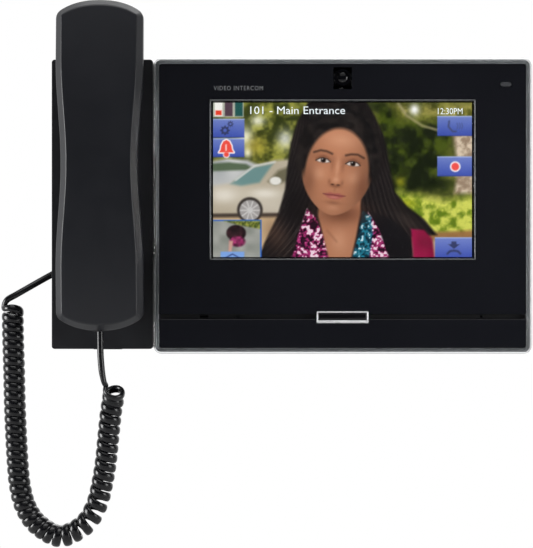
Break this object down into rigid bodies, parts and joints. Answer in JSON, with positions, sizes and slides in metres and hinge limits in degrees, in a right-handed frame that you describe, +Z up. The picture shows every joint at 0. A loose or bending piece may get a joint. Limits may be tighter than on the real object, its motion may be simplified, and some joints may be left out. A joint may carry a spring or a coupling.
{
  "type": "video intercom monitor",
  "caption": "Wall-mounted video intercom station: framed touch screen with talk bar and camera, and a side cradle holding a handset on a curly cord.",
  "frame": {"origin": "centre of the main body, on the wall plane behind the bracket", "axes": "+X to the user's right, +Y into the wall, +Z up; the screen faces -Y"},
  "size_m": [0.3146, 0.06, 0.3215],
  "materials": {
    "rear_shell": "fine-grained black ABS",
    "silver_trim": "satin silver band behind the clear rim",
    "clear_acrylic": "clear moulded acrylic",
    "gloss_black": "piano black",
    "chrome_trim": "bright plated trim",
    "screen_glass": "clear touch glass",
    "display": "lit colour display",
    "circuit_board": "green solder mask",
    "terminal_green": "green terminal block",
    "socket_metal": "tinned shield",
    "steel": "zinc-plated steel",
    "bracket_steel": "galvanised sheet",
    "black_part": "plain black moulding",
    "button_black": "smooth black key",
    "camera_black": "black camera barrel",
    "lens_glass": "coated lens",
    "speaker_paper": "treated paper cone",
    "light_lens": "smoked light pipe",
    "cradle_plastic": "satin black ABS",
    "handset_plastic": "satin black ABS",
    "clear_plug": "clear modular plug",
    "cord_black": "glossy black cord jacket"
  },
  "bodies": {
    "bracket": {"wall_bracket": "bracket_steel"},
    "station": {"rear_cover": "rear_shell", "silver_trim": "silver_trim", "clear_rim": "clear_acrylic", "front_panel": "gloss_black", "lower_panel": "gloss_black", "groove_strip_left": "black_part", "groove_strip_right": "black_part", "microphone_left": "steel", "microphone_right": "steel", "display_frame": "chrome_trim", "touch_glass": "screen_glass", "lcd_panel": "display", "lcd_back_tray": "steel", "main_board": "circuit_board", "talk_board": "circuit_board", "network_socket": "socket_metal", "terminal_block": "terminal_green", "talk_bezel": "chrome_trim", "talk_switch": "black_part", "talk_bezel_seat": "black_part", "camera_holder": "black_part", "speaker_frame": "black_part", "speaker_cone": "speaker_paper", "speaker_magnet": "steel", "status_light": "light_lens", "case_screw_1": "steel", "case_screw_2": "steel", "case_screw_3": "steel", "case_screw_4": "steel", "cradle_base": "cradle_plastic", "cradle_cover": "cradle_plastic", "hook_tab": "black_part", "hook_micro_switch": "black_part", "cradle_socket": "black_part", "cradle_link": "steel", "cradle_screw_1": "steel", "cradle_screw_2": "steel", "cradle_plug": "clear_plug", "cord_lead_cradle": "cord_black", "cord_coil": "cord_black"},
    "camera": {"camera_barrel": "camera_black", "camera_lens": "lens_glass", "image_sensor": "circuit_board"},
    "talk_button": {"talk_button": "button_black"},
    "hook_plunger": {"hook_plunger": "button_black"},
    "handset": {"handset_outer_shell": "handset_plastic", "handset_inner_shell": "handset_plastic", "ear_cap": "handset_plastic", "mouth_cap": "handset_plastic", "receiver_capsule": "steel", "handset_microphone": "steel", "handset_weight": "steel", "handset_socket": "black_part", "handset_plug": "clear_plug", "cord_lead_handset": "cord_black"}
  },
  "joints": [
    {"name": "station_lift_off", "type": "slide", "parent": "bracket", "child": "station", "axis": [0, 0, 1], "range_m": [0, 0.0055]},
    {"name": "handset_lift", "type": "slide", "parent": "station", "child": "handset", "axis": [0, -0.9397, 0.342], "range_m": [0, 0.08]},
    {"name": "hook_switch", "type": "slide", "parent": "station", "child": "hook_plunger", "axis": [0, -1, 0], "range_m": [0, 0.004]},
    {"name": "talk_press", "type": "slide", "parent": "station", "child": "talk_button", "axis": [0, 1, 0], "range_m": [0, 0.001], "stiffness_N_per_m": 300},
    {"name": "camera_tilt", "type": "hinge", "parent": "station", "child": "camera", "pos_m": [0, -0.0195, 0.0759], "axis": [1, 0, 0], "range_deg": [-8, 8]}
  ],
  "couplings": [
    {"joint": "hook_switch", "follows": "handset_lift", "ratio": 0.05}
  ]
}
